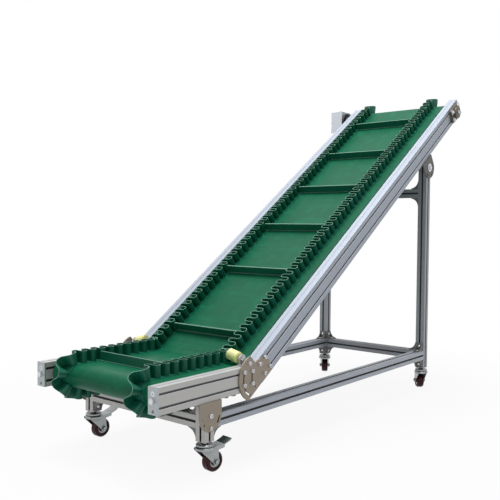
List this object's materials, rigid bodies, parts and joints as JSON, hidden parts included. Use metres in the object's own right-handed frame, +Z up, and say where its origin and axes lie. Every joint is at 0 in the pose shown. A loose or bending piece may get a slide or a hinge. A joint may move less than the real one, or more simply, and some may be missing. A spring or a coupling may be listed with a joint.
{
  "type": "mobile incline belt conveyor",
  "caption": "Mobile incline belt conveyor: aluminium-profile stand on swivel casters, level loading end, knee and lift with a cleated corrugated-sidewall belt.",
  "frame": {"origin": "bottom centre of the bounding box, on the floor", "axes": "+X from the tail (loading) end to the head (discharge) end, +Y to the conveyor's left, +Z up"},
  "size_m": [2.0584, 0.719, 1.3928],
  "materials": {
    "anodised": "satin anodised",
    "plate_steel": "brushed",
    "cast_alu": "cast",
    "bearing": "cast stainless",
    "zinc": "bright zinc",
    "sheet_steel": "brushed",
    "belt_green": "satin",
    "strip_white": "matte",
    "drive_paint": "satin",
    "black": "matte",
    "roller_cream": "satin",
    "wheel_wine": "satin"
  },
  "bodies": {
    "frame": {"rail_lower_right": "anodised", "rail_lower_left": "anodised", "rail_lift_right": "anodised", "rail_lift_left": "anodised", "tail_end_plates": "anodised", "tail_tensioners": "zinc", "knee_plate_right": "plate_steel", "knee_plate_left": "plate_steel", "cross_ties": "anodised", "bed_lower": "sheet_steel", "bed_lift": "sheet_steel", "drum_tail": "sheet_steel", "drum_head": "sheet_steel", "roller_knee": "sheet_steel", "return_strips": "strip_white", "belt": "belt_green", "sidewall_right": "belt_green", "sidewall_left": "belt_green", "sidewall_bends": "belt_green", "cleats": "belt_green", "bearing_right": "bearing", "bearing_left": "bearing", "gearbox": "drive_paint", "gear_flange": "black", "motor": "drive_paint", "motor_cover": "black", "holddown_bracket_right": "zinc", "holddown_bracket_left": "zinc", "legs_front": "anodised", "legs_rear": "anodised", "base_rails": "anodised", "cross_rail_front": "anodised", "cross_rail_rear": "anodised", "cross_rail_upper": "anodised", "gussets": "cast_alu", "pivots_front": "plate_steel", "pivots_rear": "plate_steel", "caster_stems": "zinc"},
    "fork_front_right_body": {"fork_front_right": "zinc"},
    "wheel_front_right_body": {"wheel_front_right": "wheel_wine"},
    "fork_front_left_body": {"fork_front_left": "zinc"},
    "wheel_front_left_body": {"wheel_front_left": "wheel_wine"},
    "fork_rear_right_body": {"fork_rear_right": "zinc"},
    "wheel_rear_right_body": {"wheel_rear_right": "wheel_wine"},
    "fork_rear_left_body": {"fork_rear_left": "zinc"},
    "wheel_rear_left_body": {"wheel_rear_left": "wheel_wine"},
    "holddown_right_body": {"holddown_roller_right": "roller_cream"},
    "holddown_left_body": {"holddown_roller_left": "roller_cream"}
  },
  "joints": [
    {"name": "swivel_front_right", "type": "hinge", "parent": "frame", "child": "fork_front_right_body", "pos_m": [-0.801, -0.3115, 0.09], "axis": [0, 0, 1], "continuous": true},
    {"name": "spin_front_right", "type": "hinge", "parent": "fork_front_right_body", "child": "wheel_front_right_body", "pos_m": [-0.77122, -0.31516, 0.0325], "axis": [0.1219, 0.9925, 0], "continuous": true},
    {"name": "swivel_front_left", "type": "hinge", "parent": "frame", "child": "fork_front_left_body", "pos_m": [-0.801, 0.2245, 0.09], "axis": [0, 0, 1], "continuous": true},
    {"name": "spin_front_left", "type": "hinge", "parent": "fork_front_left_body", "child": "wheel_front_left_body", "pos_m": [-0.771, 0.2245, 0.0325], "axis": [0, 1, 0], "continuous": true},
    {"name": "swivel_rear_right", "type": "hinge", "parent": "frame", "child": "fork_rear_right_body", "pos_m": [0.679, -0.3115, 0.09], "axis": [0, 0, 1], "continuous": true},
    {"name": "spin_rear_right", "type": "hinge", "parent": "fork_rear_right_body", "child": "wheel_rear_right_body", "pos_m": [0.70198, -0.29222, 0.0325], "axis": [-0.6428, 0.766, 0], "continuous": true},
    {"name": "swivel_rear_left", "type": "hinge", "parent": "frame", "child": "fork_rear_left_body", "pos_m": [0.679, 0.2245, 0.09], "axis": [0, 0, 1], "continuous": true},
    {"name": "spin_rear_left", "type": "hinge", "parent": "fork_rear_left_body", "child": "wheel_rear_left_body", "pos_m": [0.70444, 0.2404, 0.0325], "axis": [-0.5299, 0.848, 0], "continuous": true},
    {"name": "holddown_spin_right", "type": "hinge", "parent": "frame", "child": "holddown_right_body", "pos_m": [-0.615, -0.26749, 0.32868], "axis": [0, 0.9781, 0.2079], "continuous": true},
    {"name": "holddown_spin_left", "type": "hinge", "parent": "frame", "child": "holddown_left_body", "pos_m": [-0.615, 0.18049, 0.32868], "axis": [0, 0.9781, -0.2079], "continuous": true}
  ]
}
